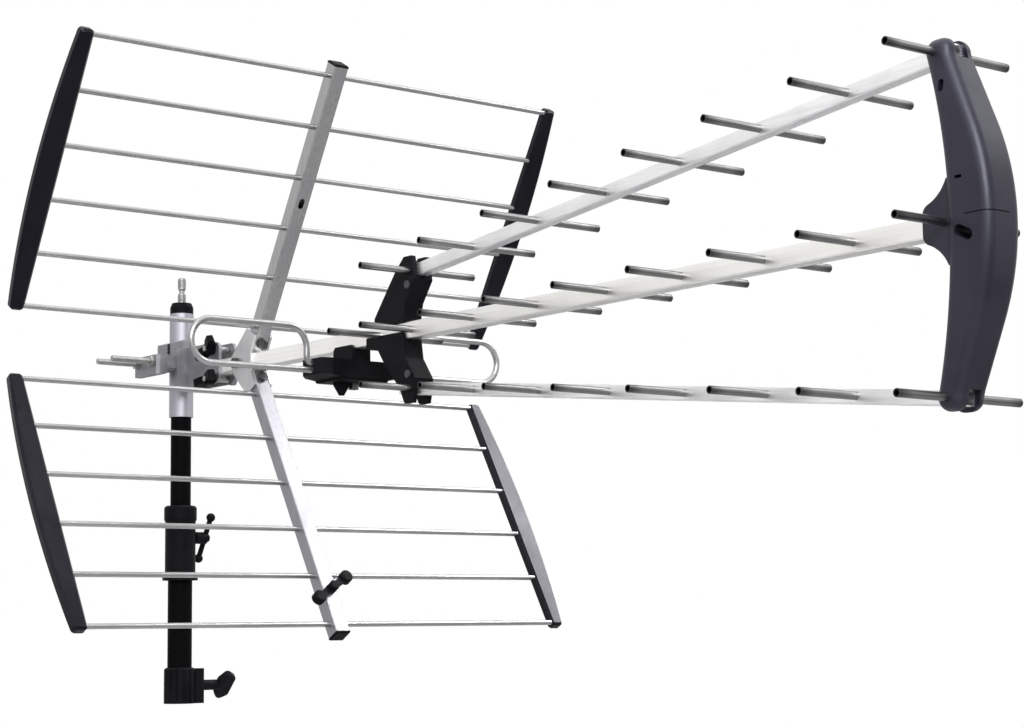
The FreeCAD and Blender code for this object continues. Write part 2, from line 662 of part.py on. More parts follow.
for level, sign in side_sign.items():
    axis_z = f"boom_z + {sign} * side_rise"
    slope = f"-{sign} * side_slope"
    director_row("directors_" + level, "dir_first", axis_z, slope, director_count)
    side = new_body("side_boom_" + level, "dir_first", "0", axis_z, slope)
    square_tube(side, "YZ", "-side_rear", f"side_rear + {side_run} + side_front", "side_size", "side_wall")
    hole = cross_holes(side, [("0", "0")], "dir_r + fit", "side_size * 2")
    repeat(side, hole, "X", side_run, director_count)


# Reflector

def on_panel(across, along, sign):
    """X and height of a point of a panel, across from its line and along it."""
    return (f"apex_x + ({across}) * cos(lean) + ({along}) * sin(lean)",
            f"{sign} * (({along}) * cos(lean) - ({across}) * sin(lean))")


plate_out = f"({boom_side} + plate_thick)"
spine_half = "(spine_size / 2)"
web_front, web_back = f"-{spine_half} - fit", f"(-{spine_half} - fit - plate_thick)"
bolt_turn = {level: f"90 + {sign} * lean" for level, sign in side_sign.items()}


def plate_pad(body, corners, offset, length):
    sketch = new_sketch(body, "XZ", offset)
    outline(sketch, corners)
    extrude(body, "Pad", sketch, length, symmetric=False)


def plate(label, offset, webbed):
    """A cheek beside the boom and both spines; with webs, it is bent round the back of the spines."""
    piece = new_body(label)
    upper = [on_panel(spine_half, "spine_start", 1), on_panel(spine_half, "plate_reach", 1),
             on_panel(web_back, "plate_reach", 1)]
    rear = "apex_x - plate_rear - hex_r * 1.7"
    shape = upper + [(rear, "hex_r * 1.4"), (rear, "-hex_r * 1.4")]
    shape += [(x, f"-1 * ({z})") for x, z in reversed(upper)]
    plate_pad(piece, shape, offset, "plate_thick")
    soften(piece, "Fillet", "2.5", lambda edge: runs_along(edge, 1))
    cross_holes(piece, [("apex_x - plate_rear", "0")], "bolt_r + fit", "boom_size * 4")
    if webbed:
        for sign in side_sign.values():
            ends = ("spine_start + 3", "plate_reach - 3")
            web = [on_panel(across, along, sign) for across in (web_front, web_back) for along in ends]
            web = [web[0], web[1], web[3], web[2]]
            web = web if sign == "1" else web[::-1]
            plate_pad(piece, web, "-boom_size / 2", f"boom_size / 2 + {plate_out}")
    return piece


def spine_bore(level):
    """The way of a spine's bolt through the web behind the spine."""
    x, z = on_panel(f"{web_back} - 1", "plate_bolt", side_sign[level])
    bore = cylinder("web_bore_" + level, "bolt_r + fit", "plate_thick + 2", x, "0", f"boom_z + {z}")
    bore.Placement.Rotation = FreeCAD.Rotation(FreeCAD.Vector(0, 1, 0), value(bolt_turn[level]))
    bind(bore, ".Placement.Rotation.Angle", bolt_turn[level])
    return bore


def spine_fixing(level, kind):
    """The bolt of a spine or its nut; the body's Z axis points out of the spine's front."""
    x, z = on_panel("0", "plate_bolt", side_sign[level])
    piece = new_body(f"spine_{kind}_{level}", x, "0", f"boom_z + {z}", bolt_turn[level])
    is_bolt = kind == "bolt"
    head = new_sketch(piece, "XY", spine_half if is_bolt else f"{web_back} - hex_h")
    outline(head, [(f"hex_r * cos({60 * i})", f"hex_r * sin({60 * i})") for i in range(6)])
    extrude(piece, "Pad", head, "hex_h", symmetric=False)
    way = new_sketch(piece, "XY", f"{web_back} - hex_h - 2")
    circle(way, "0", "0", "bolt_r" if is_bolt else "bolt_r + fit")
    length = f"{spine_half} - {web_back} + hex_h + 2" if is_bolt else "hex_h * 2"
    extrude(piece, "Pad" if is_bolt else "Pocket", way, length, symmetric=False, turned=not is_bolt)
    return piece


webbed_plate = doc.addObject("Part::Cut", "reflector_plate_right")
webbed_plate.Label = "reflector_plate_right"
webbed_plate.Base = plate("webbed_plate", boom_side, True)
webbed_plate.Tool = joined("MultiFuse", "web_bores", [spine_bore(level) for level in side_sign])
plate("reflector_plate_left", f"-{plate_out}", False)
joined("Compound", "reflector_bolts", [spine_fixing(level, "bolt") for level in side_sign] + [
    bolt("boom_bolt", "apex_x - plate_rear", "boom_z", f"-{plate_out} - hex_h - 2", plate_out)])
joined("Compound", "reflector_nuts", [spine_fixing(level, "nut") for level in side_sign] + [
    ring_nut("boom_nut", "apex_x - plate_rear", f"-{plate_out} - hex_h", "boom_z")])


def spine(level):
    tube = new_body("spine_" + level, "apex_x", "0", "boom_z", spine_turn[level])
    square_tube(tube, "XY", "spine_start", f"{spine_end} - spine_start", "spine_size", "spine_wall")
    bolt_way = new_sketch(tube, "YZ")
    circle(bolt_way, "0", "plate_bolt", "bolt_r + fit")
    extrude(tube, "Pocket", bolt_way, "spine_size * 2")
    hole = cross_holes(tube, [("0", "rod_first")], "rod_r + fit", "spine_size * 2")
    repeat(tube, hole, "Z", f"{rod_last} - rod_first", rod_count)
    return tube


def plug(level):
    """A plug in the outer end of a spine."""
    piece = new_body("spine_plug_" + level, "apex_x", "0", "boom_z", spine_turn[level])
    head = new_sketch(piece, "XY", spine_end)
    rectangle(head, "-spine_size / 2", "-spine_size / 2", "spine_size / 2", "spine_size / 2")
    extrude(piece, "Pad", head, "plug_thick", symmetric=False)
    soften(piece, "Chamfer", "1.2",
           lambda edge: edge.CenterOfMass.z > value(f"{spine_end} + plug_thick") - 0.01)
    stem = new_sketch(piece, "XY", spine_end)
    inner = "(spine_size / 2 - spine_wall - fit)"
    rectangle(stem, f"-{inner}", f"-{inner}", inner, inner)
    extrude(piece, "Pad", stem, "7", symmetric=False, turned=True)
    return piece


def strip(level, hand, side):
    """An end strip; its outer edge is an arc, and the rods end in its inner edge."""
    piece = new_body(f"end_strip_{level}_{hand}", "apex_x", "0", "boom_z", spine_turn[level])
    sketch = new_sketch(piece, "YZ", f"-{side_sign[level]} * strip_back")
    inner = "rod_span / 2"
    low, high = "rod_first - strip_over", f"{rod_last} + strip_over"
    corners = [(inner, low), (f"{inner} + strip_end", low), (f"{inner} + strip_end", high), (inner, high)]
    if side < 0:
        corners = [(f"-1 * ({y})", z) for y, z in reversed(corners)]
    half_chord = f"(({high} - ({low})) / 2)"
    rise = "(strip_mid - strip_end)"
    outline(sketch, corners, arcs={1: (f"({half_chord} ^ 2 + {rise} ^ 2) / (2 * {rise})", True)})
    extrude(piece, "Pad", sketch, "strip_thick")
    soften(piece, "Fillet", "strip_end * 0.3", lambda edge: runs_along(edge, 0))
    soften(piece, "Chamfer", "2.5",
           lambda edge: abs(edge.CenterOfMass.y) > value(f"{inner} + strip_end") - 0.01
           and not runs_along(edge, 0))
    hole = cross_holes(piece, [("0", "rod_first")], "rod_r + fit", "rod_span + 2 * rod_seat")
    repeat(piece, hole, "Z", f"{rod_last} - rod_first", rod_count)


for level, sign in side_sign.items():
    spine(level)
    for hand, side in (("left", 1), ("right", -1)):
        strip(level, hand, side)
    for number in range(rod_count):
        x, z = on_panel("0", f"rod_first + {number} * rod_pitch", sign)
        label = f"reflector_rod_{level}_{number + 1}"
        length = "(rod_span + 2 * rod_seat - 0.2)"
        rod = cylinder(label, "rod_r", length, x, f"-{length} / 2", f"boom_z + {z}", along_y)
        rod.Label = label
joined("Compound", "spine_plugs", [plug(level) for level in side_sign])

upper_spine = doc.getObject("spine_upper")
front_slot = new_sketch(upper_spine, "YZ")
slot(front_slot, "-1", "rod_first + 2.55 * rod_pitch", "2.5", "3", "90")
extrude(upper_spine, "Pocket", front_slot, "spine_size", symmetric=False, turned=True)

wing_along = f"(rod_first + {rod_count - 2} * rod_pitch + wing_past)"
lower_spine = doc.getObject("spine_lower")
screw_way = new_sketch(lower_spine, "YZ")
circle(screw_way, "0", wing_along, "bolt_r + fit")
extrude(lower_spine, "Pocket", screw_way, "spine_size * 2")

# The wing screw crosses the lower spine; the front of that panel is the body's -X side.
wing_screw = new_body("spine_screw", "apex_x", "0", "boom_z", spine_turn["lower"])
thread = new_sketch(wing_screw, "YZ", "wing_back")
circle(thread, "0", wing_along, "bolt_r")
extrude(wing_screw, "Pad", thread, f"wing_back + {spine_half} + lobe_thick", symmetric=False, turned=True)


def screw_disc(start, length, radius, turned):
    sketch = new_sketch(wing_screw, "YZ", start)
    circle(sketch, "0", wing_along, radius)
    extrude(wing_screw, "Pad", sketch, length, symmetric=False, turned=turned)


def on_wing(out, across):
    """A point of the wing, out along it from the screw and across it."""
    return (f"({out}) * cos(wing_turn) + ({across}) * sin(wing_turn)",
            f"{wing_along} - ({out}) * sin(wing_turn) + ({across}) * cos(wing_turn)")


screw_disc(spine_half, f"wing_back - {spine_half}", "bolt_r * 1.9", False)
screw_disc(f"-{spine_half}", "lobe_thick + 3", "bolt_r * 1.7", True)
wing_bar = new_sketch(wing_screw, "YZ", f"-{spine_half} - 2")
narrow = "lobe_r * 0.55"
outline(wing_bar, [on_wing("-wing_half", f"-{narrow}"), on_wing("wing_half", f"-{narrow}"),
                   on_wing("wing_half", narrow), on_wing("-wing_half", narrow)])
extrude(wing_screw, "Pad", wing_bar, "lobe_thick - 4", symmetric=False, turned=True)
for end in ("wing_half", "-wing_half"):
    lobe = new_sketch(wing_screw, "YZ", f"-{spine_half} - 1")
    circle(lobe, *on_wing(end, "0"), "lobe_r")
    extrude(wing_screw, "Pad", lobe, "lobe_thick", symmetric=False, turned=True)
soften(wing_screw, "Fillet", "2",
       lambda edge: edge.CenterOfMass.x < -value(f"{spine_half} + lobe_thick") - 0.9)


# Driven element

def dipole(label, side):
    """Half of the folded dipole: lower run, end bend, upper run and the bent-down inner end."""
    half = new_body(label, "dipole_x", "0", "boom_z")
    radius = "((dipole_top + dipole_low) / 2)"
    bend_y = f"dipole_half - {radius}"
    middle = f"dipole_top - {radius}"
    way = [
        ("dipole_in", "-dipole_low"), (bend_y, "-dipole_low"),
        ("dipole_half", middle), (bend_y, "dipole_top"),
        (f"dipole_gap + {radius}", "dipole_top"), ("dipole_gap", middle),
        ("dipole_gap", "-terminal_low + terminal_bend"), ("dipole_gap - terminal_bend", "-terminal_low"),
        ("dipole_in", "-terminal_low"),
    ]
    if side < 0:
        way = [(f"-1 * ({y})", z) for y, z in way]
    left_turn = side > 0
    path = new_sketch(half, "YZ")
    outline(path, way, closed=False, arcs={
        1: (radius, left_turn), 2: (radius, left_turn), 4: (radius, left_turn),
        6: ("terminal_bend", not left_turn),
    })
    section = new_sketch(half, "XZ", f"{-side} * dipole_in")
    circle(section, "0", "-dipole_low", "dipole_r")
    pipe = half.newObject("PartDesign::AdditivePipe", label + "_pipe")
    pipe.Profile = section
    pipe.Spine = path
    half.Tip = pipe


dipole("dipole_left", 1)
dipole("dipole_right", -1)

box = new_body("balun_box", "dipole_x", "0", "boom_z")
box_side = new_sketch(box, "YZ")
outline(box_side, [
    ("-box_half", "-box_low + box_draft"), ("-box_shoulder", "-box_low"), ("box_shoulder", "-box_low"),
    ("box_half", "-box_low + box_draft"), ("box_half", "-box_top + 1.5"), ("box_shoulder", "-box_top"),
    ("-box_shoulder", "-box_top"), ("-box_half", "-box_top + 1.5"),
])
extrude(box, "Pad", box_side, "box_wide")
soften(box, "Chamfer", "8",
       lambda edge: runs_along(edge, 2) and abs(edge.CenterOfMass.y) > value("box_half") - 1)
box_saddle = new_sketch(box, "XY", "-box_top - 1")
lip_out = f"({boom_side} + box_wall)"
rectangle(box_saddle, "-saddle_long / 2", f"-{lip_out}", "saddle_long / 2", lip_out)
extrude(box, "Pad", box_saddle, "box_top + 1 - boom_size / 2 + saddle_lip", symmetric=False)
soften(box, "Chamfer", "saddle_lip * 0.8", lambda edge: runs_along(edge, 1)
       and edge.CenterOfMass.z > value("saddle_lip - boom_size / 2") - 0.01)
boom_way = new_sketch(box, "YZ")
rectangle(boom_way, f"-{boom_side}", f"-{boom_side}", boom_side, boom_side)
extrude(box, "Pocket", boom_way, "box_wide * 2")
cavity = new_sketch(box, "XY", "-box_low - 1")
rectangle(cavity, "-box_wide / 2 + box_wall", "-box_shoulder", "box_wide / 2 - box_wall", "box_shoulder")
extrude(box, "Pocket", cavity, "box_low - box_top - box_wall + 1", symmetric=False, turned=True)
cross_holes(box, [("0", "-dipole_low"), ("0", "-terminal_low")], "dipole_r + fit", "dipole_gap * 2")

lid = new_body("balun_lid", "dipole_x", "0", "boom_z - box_low")
lid_plate = new_sketch(lid, "XY")
rectangle(lid_plate, "-box_wide / 2 + 1", "-box_shoulder - 1", "box_wide / 2 - 1", "box_shoulder + 1")
extrude(lid, "Pad", lid_plate, "box_wall", symmetric=False, turned=True)
soften(lid, "Chamfer", "1.2", lambda edge: edge.CenterOfMass.z < -value("box_wall") + 0.01)
lid_rim = new_sketch(lid, "XY")
rim_x, rim_y = "(box_wide / 2 - box_wall - 0.3)", "(box_shoulder - 0.3)"
rectangle(lid_rim, f"-{rim_x}", f"-{rim_y}", rim_x, rim_y)
rectangle(lid_rim, f"-{rim_x} + 2", f"-{rim_y} + 2", f"{rim_x} - 2", f"{rim_y} - 2")
extrude(lid, "Pad", lid_rim, "2", symmetric=False)
lid_holes = new_sketch(lid, "XY")
circle(lid_holes, "0", "-gland_y", "gland_tip + 1 + fit")
circle(lid_holes, "0", "2", "cable_r - 1 + fit")
extrude(lid, "Pocket", lid_holes, "box_wall * 4")

board = new_body("balun_board", "dipole_x", "0", "boom_z - dipole_low - dipole_r - 0.2")
board_plate = new_sketch(board, "XY")
rectangle(board_plate, "-box_wide / 2 + box_wall + 0.5", "-box_shoulder + 0.5",
          "box_wide / 2 - box_wall - 0.5", "box_shoulder - 0.5")
extrude(board, "Pad", board_plate, "1.6", symmetric=False, turned=True)

gland = new_body("cable_gland", "dipole_x", "-gland_y", "boom_z - box_low - box_wall")
revolve(gland, [
    ("gland_tip - 1", "-gland_len"), ("gland_tip", "-gland_len"), ("gland_r", "-3"), ("gland_r", "0"),
    ("gland_tip + 1", "0"), ("gland_tip + 1", "box_wall"), ("gland_tip - 1", "box_wall"),
])
socket = new_body("cable_socket", "dipole_x", "2", "boom_z - box_low - box_wall")
revolve(socket, [
    ("cable_r - 2", "-cable_len"), ("cable_r", "-cable_len"), ("cable_r", "0"), ("cable_r - 1", "0"),
    ("cable_r - 1", "box_wall"), ("0", "box_wall"), ("0", "-1"), ("cable_r - 2", "-1"),
])


# Fork between the main boom and the side booms

def side_line(x, rise, sign):
    """Height of a line parallel to a side boom's axis, at x."""
    return f"{sign} * (side_rise + ({x} - dir_first) * tan(side_slope) + ({rise}) / cos(side_slope))"


def boom_notch(body, start, end, top, sign):
    """Cuts the bed of a side boom, open on the far side of its axis from the main boom."""
    sketch = new_sketch(body, "XZ")
    under = "-side_size / 2 - fit"
    shape = [(start, side_line(start, under, sign)), (end, side_line(end, under, sign)),
             (end, f"{sign} * ({top})"), (start, f"{sign} * ({top})")]
    outline(sketch, shape if sign == "1" else shape[::-1])
    extrude(body, "Pocket", sketch, "side_size + 2 * fit")


def fork_arm(level, sign):
    arm = new_body("fork_" + level)
    foot = "boom_size / 2 + fit"
    back, prong = "dir_first - fork_back", "side_rise + fork_prong"
    shape = [
        ("dir_first - 10", foot), ("dir_first - 6", f"{foot} + 18"), ("dir_first + 9", "side_rise - 9"),
        ("dir_first + 7", "side_rise + 6"), ("dir_first + 5", prong), ("dir_first - 8", prong),
        ("dir_first - 23", "side_rise"), (back, f"{foot} + 8"), (back, foot),
    ]
    if sign == "-1":
        shape[-3:] = [("dir_first - 15", "side_rise"), ("dir_first - fork_gap + 8", f"{foot} + 17"),
                      ("dir_first - fork_gap", f"{foot} + 6"), ("dir_first - fork_heel", f"{foot} + 4"),
                      ("dir_first - fork_heel", f"{foot} - fork_lap"),
                      ("dir_first - 10", f"{foot} - fork_lap")]
        shape = [(x, f"-1 * ({z})") for x, z in reversed(shape[1:])]
    sketch = new_sketch(arm, "XZ")
    outline(sketch, shape)
    extrude(arm, "Pad", sketch, "fork_wide")
    soften(arm, "Fillet", "1.5", lambda edge: runs_along(edge, 1))
    boom_notch(arm, "dir_first - side_rear - 0.5", "dir_first + 30", "side_rise + 40", sign)
    if sign == "-1":
        seat = new_sketch(arm, "XZ")
        rectangle(seat, "dir_first - fork_heel - 5", f"-1 * ({foot})", "dir_first + 5", foot)
        extrude(arm, "Pocket", seat, "boom_size + 2 * fit")
        cross_holes(arm, [("dir_extra", "0")], "dir_r + fit", "fork_wide * 2")
    cross_holes(arm, [("dir_first", f"{sign} * side_rise")], "dir_r + fit", "fork_wide * 2")
    cross_holes(arm, [("dir_first - 1", f"{sign} * (side_rise - 13)")], "2 + fit", "fork_wide * 2")


def fork_screw(sign):
    """A round-headed screw across one arm, its head on the near side."""
    x, z = "dir_first - 1", f"boom_z + {sign} * (side_rise - 13)"
    shaft = cylinder("fork_screw_shaft", "2", "fork_wide - 1", x, "-fork_wide / 2", z, along_y)
    head = cylinder("fork_screw_head", "3.8", "2", x, "-fork_wide / 2 - 2", z, along_y)
    return joined("MultiFuse", "fork_screw", [shaft, head])


for level, sign in side_sign.items():
    fork_arm(level, sign)
joined("Compound", "fork_screws", [fork_screw(sign) for sign in side_sign.values()])


# Spreader: a bow at the front that holds the ends of the three booms

bow = new_body("spreader")
bow_high = f"({side_front_z} + bow_over)"
hip_x = "(bow_belly - bow_hip * tan(bow_sweep / 2))"
shoulder_z = f"(bow_hip + ({hip_x} - bow_tip) / tan(bow_sweep))"
rear_depth = "(bow_waist + bow_back)"
bow_side = new_sketch(bow, "XZ")
outline(bow_side, [
    (f"{front_x} + bow_tip", f"-{bow_high}"), (f"{front_x} + bow_tip", f"-{shoulder_z}"),
    (f"{front_x} + {hip_x}", "-bow_hip"), (f"{front_x} + {hip_x}", "bow_hip"),
    (f"{front_x} + bow_tip", shoulder_z), (f"{front_x} + bow_tip", bow_high),
    (f"{front_x} - bow_back", bow_high), (f"{front_x} - bow_back", f"-{bow_high}"),
], arcs={2: ("bow_hip / sin(bow_sweep)", True),
         6: (f"({bow_high} ^ 2 + {rear_depth} ^ 2) / (2 * {rear_depth})", False)})
extrude(bow, "Pad", bow_side, "bow_wide")
soften(bow, "Fillet", "25", lambda edge: runs_along(edge, 1)
       and abs(abs(edge.CenterOfMass.z) - value(shoulder_z)) < 0.01)
soften(bow, "Fillet", "bow_soft + 1.5", lambda edge: runs_along(edge, 1)
       and abs(edge.CenterOfMass.z) > value(bow_high) - 0.01)
taper = "((bow_wide - bow_end_wide) / 2)"
cut_high = f"({bow_high} + 2)"
taper_arc = f"({cut_high} ^ 2 + {taper} ^ 2) / (2 * {taper})"
flank = new_sketch(bow, "YZ")
flank_shape = [("bow_wide", f"-{cut_high}"), ("bow_wide", cut_high), ("bow_end_wide / 2", cut_high),
               ("bow_end_wide / 2", f"-{cut_high}")]
outline(flank, flank_shape, arcs={2: (taper_arc, False)})
outline(flank, [(f"-1 * {y}", z) for y, z in reversed(flank_shape)], arcs={0: (taper_arc, False)})
extrude(bow, "Pocket", flank, f"({front_x}) * 3")
soften(bow, "Fillet", "bow_soft", lambda edge: abs(edge.CenterOfMass.y) > 1)

# The socket boss for the main boom: hollow flanks run it out into the bow, and its rear corners are round.
boss_pad = new_sketch(bow, "XZ")
boss_inside = f"{front_x} + bow_waist + 8"
boss_leaves = f"{front_x} + bow_waist - 1.5"
boss_rear = f"{front_x} - boss_back"
outline(boss_pad, [
    (boss_inside, "-boss_root"), (boss_inside, "boss_root"), (boss_leaves, "boss_root"),
    (boss_rear, "boss_half"), (boss_rear, "-boss_half"), (boss_leaves, "-boss_root"),
], arcs={2: ("boss_root", False), 4: ("boss_root", False)})
extrude(bow, "Pad", boss_pad, "boss_wide")
soften(bow, "Fillet", "8", lambda edge: runs_along(edge, 1)
       and edge.CenterOfMass.x < value(boss_rear) + 0.01)
for sign in side_sign.values():
    boom_notch(bow, f"{front_x} - 40", f"{front_x} + 60", f"{bow_high} + 20", sign)
boom_bed = new_sketch(bow, "XZ")
rectangle(boom_bed, f"{front_x} - 60", f"-1 * {boom_side}", f"{boom_front} + fit", boom_side)
extrude(bow, "Pocket", boom_bed, "boom_size + 2 * fit")
cross_holes(bow, [(front_x, "0"), (side_front_x, side_front_z), (side_front_x, f"-1 * {side_front_z}")],
            "dir_r + fit", "bow_wide * 2")
bow_slots = new_sketch(bow, "XZ")
slot(bow_slots, f"{front_x} + 20", "-10.5", "4.5", "4", "-27")
slot(bow_slots, f"{front_x} + 17", "29", "2.2", "1.2", "0")
slot(bow_slots, f"{front_x} + 3.5", f"{bow_high} - 36", "2.2", "2.4", "80")
extrude(bow, "Pocket", bow_slots, "bow_wide * 2")


# Checks and files

nodes = [
    "base_collar", "base_knob", "lower_tube", "upper_collar", "collar_knob", "upper_tube", "mast_sleeve",
    "mast_cap", "top_stud", "clamp_body", "u_bolt", "u_bolt_nuts", "clamp_bolts", "wing_nuts", "main_boom",
    "reflector_plate_right", "reflector_plate_left", "reflector_bolts", "reflector_nuts", "spine_plugs",
    "spine_screw", "dipole_left", "dipole_right", "balun_box", "balun_lid", "balun_board", "cable_gland",
    "cable_socket", "fork_screws", "directors_main", "director_rear", "spreader",
]
for level in side_sign:
    nodes += ["spine_" + level, "fork_" + level, "side_boom_" + level, "directors_" + level]
    nodes += [f"end_strip_{level}_{hand}" for hand in ("left", "right")]
    nodes += [f"reflector_rod_{level}_{number + 1}" for number in range(rod_count)]

doc.recompute()
for item in doc.Objects:
    if "Invalid" in item.State or "Error" in item.State:
        raise RuntimeError(f"{item.Name} could not be computed")

os.makedirs("parts", exist_ok=True)
for label in nodes:
    shape = doc.getObjectsByLabel(label)[0].Shape
    if shape.isNull() or not shape.isValid():
        raise RuntimeError(f"{label} has no valid shape")
    shape.exportStep(f"parts/{label}.step")
print(len(nodes), "pieces written")
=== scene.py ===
import math

import bmesh
import bpy
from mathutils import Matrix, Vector


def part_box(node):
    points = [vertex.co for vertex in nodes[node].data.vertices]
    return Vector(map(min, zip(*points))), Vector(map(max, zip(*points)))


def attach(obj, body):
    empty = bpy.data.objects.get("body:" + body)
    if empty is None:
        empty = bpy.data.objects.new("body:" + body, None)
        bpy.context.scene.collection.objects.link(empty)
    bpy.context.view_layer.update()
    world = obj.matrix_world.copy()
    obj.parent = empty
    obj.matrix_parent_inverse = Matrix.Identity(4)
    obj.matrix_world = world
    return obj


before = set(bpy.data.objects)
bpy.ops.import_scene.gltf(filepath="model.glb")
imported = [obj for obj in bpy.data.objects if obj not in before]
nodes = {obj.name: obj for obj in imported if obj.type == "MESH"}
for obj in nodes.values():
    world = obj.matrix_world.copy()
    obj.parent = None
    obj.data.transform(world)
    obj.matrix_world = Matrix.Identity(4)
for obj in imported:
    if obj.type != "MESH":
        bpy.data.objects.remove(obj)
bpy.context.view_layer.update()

levels = ("upper", "lower")
print("frame loaded:", len(nodes), "nodes")


# materials
noiseSpan = (0.3, 0.7)  # where most of a noise texture's values lie


def newMaterial(name):
    material = bpy.data.materials.new(name)
    material.use_nodes = True
    tree = material.node_tree
    return material, tree, tree.nodes["Principled BSDF"]


def addNode(tree, kind, **values):
    node = tree.nodes.new(kind)
    for key, value in values.items():
        setattr(node, key, value)
    return node


def placeOn(tree, scale, turn=(0, 0, 0)):
    coord = addNode(tree, "ShaderNodeTexCoord")
    mapping = addNode(tree, "ShaderNodeMapping")
    mapping.inputs["Scale"].default_value = scale
    mapping.inputs["Rotation"].default_value = [math.radians(a) for a in turn]
    tree.links.new(coord.outputs["Object"], mapping.inputs["Vector"])
    return mapping.outputs["Vector"]


def noiseOn(tree, vector, scale, detail=4, rough=0.55):
    noise = addNode(tree, "ShaderNodeTexNoise")
    noise.inputs["Scale"].default_value = scale
    noise.inputs["Detail"].default_value = detail
    noise.inputs["Roughness"].default_value = rough
    tree.links.new(vector, noise.inputs["Vector"])
    return noise.outputs["Fac"]


def rampOn(tree, factor, stops):
    ramp = addNode(tree, "ShaderNodeValToRGB")
    elements = ramp.color_ramp.elements
    while len(elements) < len(stops):
        elements.new(0.5)
    for element, (place, shade) in zip(elements, stops):
        element.position = place
        element.color = shade if len(shade) == 4 else (*shade, 1)
    tree.links.new(factor, ramp.inputs["Fac"])
    return ramp.outputs["Color"]


def spanOn(tree, value, start, end, low=0.0, high=1.0):
    span = addNode(tree, "ShaderNodeMapRange")
    span.inputs["From Min"].default_value = start
    span.inputs["From Max"].default_value = end
    span.inputs["To Min"].default_value = low
    span.inputs["To Max"].default_value = high
    tree.links.new(value, span.inputs["Value"])
    return span.outputs["Result"]


def mixOn(tree, factor, first, second):
    mix = addNode(tree, "ShaderNodeMix", data_type="RGBA", blend_type="MIX")
    for key, source in (("Factor", factor), ("A", first), ("B", second)):
        socket = mix.inputs[key]
        if isinstance(source, (int, float, tuple)):
            socket.default_value = source
        else:
            tree.links.new(source, socket)
    return mix.outputs["Result"]


def bumpOn(tree, shader, height, depth):
    bump = addNode(tree, "ShaderNodeBump")
    bump.inputs["Distance"].default_value = depth
    bump.inputs["Strength"].default_value = 1.0
    tree.links.new(height, bump.inputs["Height"])
    tree.links.new(bump.outputs["Normal"], shader.inputs["Normal"])


# how far a face looks up
def lookingUp(tree, start, end):
    geometry = addNode(tree, "ShaderNodeNewGeometry")
    split = addNode(tree, "ShaderNodeSeparateXYZ")
    tree.links.new(geometry.outputs["Normal"], split.inputs["Vector"])
    return spanOn(tree, split.outputs["Z"], start, end)


# how near a point is to the ends of a piece that lies across the boom; it masks the painted shade near the
# ends
def nearEnds(tree, start, end):
    split = addNode(tree, "ShaderNodeSeparateXYZ")
    tree.links.new(placeOn(tree, (1, 1, 1)), split.inputs["Vector"])
    reach = addNode(tree, "ShaderNodeMath", operation="ABSOLUTE")
    tree.links.new(split.outputs["Y"], reach.inputs[0])
    return spanOn(tree, reach.outputs[0], start, end)


# drawn tube: fine streaks along the draw, dull patches of oxide, and where asked a painted shade near the
# ends
def drawnTube(name, look):
    material, tree, shader = newMaterial(name)
    along = placeOn(tree, look["streak"], look["turn"])
    streak = noiseOn(tree, along, 1.0, detail=6, rough=0.6)
    patch = noiseOn(tree, placeOn(tree, (1, 1, 1)), look["patch"], detail=5)
    bright = rampOn(tree, streak, list(zip(look["streakSpan"], (look["dark"], look["light"]))))
    oxide = rampOn(tree, patch, list(zip(look["patchSpan"], ((0, 0, 0), (1, 1, 1)))))
    shade = mixOn(tree, oxide, bright, (*look["dull"], 1))
    # painted shade: the colour darkens towards both ends of the piece
    if "endFrom" in look:
        shade = mixOn(tree, nearEnds(tree, look["endFrom"], look["endTo"]), shade, (*look["endShadeColour"], 1))
    tree.links.new(shade, shader.inputs["Base Color"])
    tree.links.new(spanOn(tree, streak, *noiseSpan, *look["rough"]), shader.inputs["Roughness"])
    shader.inputs["Metallic"].default_value = 1.0
    bumpOn(tree, shader, streak, look["groove"])
    return material


# moulded plastic: fine spark grain, faint flow marks, dust on what looks up
def mouldedPlastic(name, look):
    material, tree, shader = newMaterial(name)
    grain = noiseOn(tree, placeOn(tree, (1, 1, 1)), look["grain"], detail=3, rough=0.6)
    flow = noiseOn(tree, placeOn(tree, (1, 1, 1)), look["flow"], detail=6, rough=0.6)
    shade = rampOn(tree, flow, list(zip(noiseSpan, (look["dark"], look["light"]))))
    dust = noiseOn(tree, placeOn(tree, (1, 1, 1)), look["dust"], detail=8, rough=0.7)
    specks = rampOn(tree, dust, list(zip(look["dustSpan"], ((0, 0, 0), (1, 1, 1)))))
    settled = addNode(tree, "ShaderNodeMath", operation="MULTIPLY")
    tree.links.new(lookingUp(tree, *look["upSpan"]), settled.inputs[0])
    tree.links.new(specks, settled.inputs[1])
    dusted = mixOn(tree, settled.outputs[0], shade, (*look["dustColour"], 1))
    tree.links.new(dusted, shader.inputs["Base Color"])
    tree.links.new(spanOn(tree, flow, *noiseSpan, *look["rough"]), shader.inputs["Roughness"])
    shader.inputs["Specular IOR Level"].default_value = look["shine"]
    shader.inputs["Specular Tint"].default_value = (*look["tint"], 1)
    bumpOn(tree, shader, grain, look["depth"])
    return material


# sprayed paint: orange peel, a few rubbed places
def sprayedPaint(name, look):
    material, tree, shader = newMaterial(name)
    peel = noiseOn(tree, placeOn(tree, (1, 1, 1)), look["peel"], detail=2)
    rub = noiseOn(tree, placeOn(tree, look["rubScale"]), 1.0, detail=8, rough=0.68)
    worn = rampOn(tree, rub, list(zip(look["rubSpan"], (look["colour"], look["worn"]))))
    tree.links.new(worn, shader.inputs["Base Color"])
    tree.links.new(spanOn(tree, rub, *noiseSpan, *look["rough"]), shader.inputs["Roughness"])
    shader.inputs["Specular IOR Level"].default_value = look["shine"]
    bumpOn(tree, shader, peel, look["depth"])
    return material


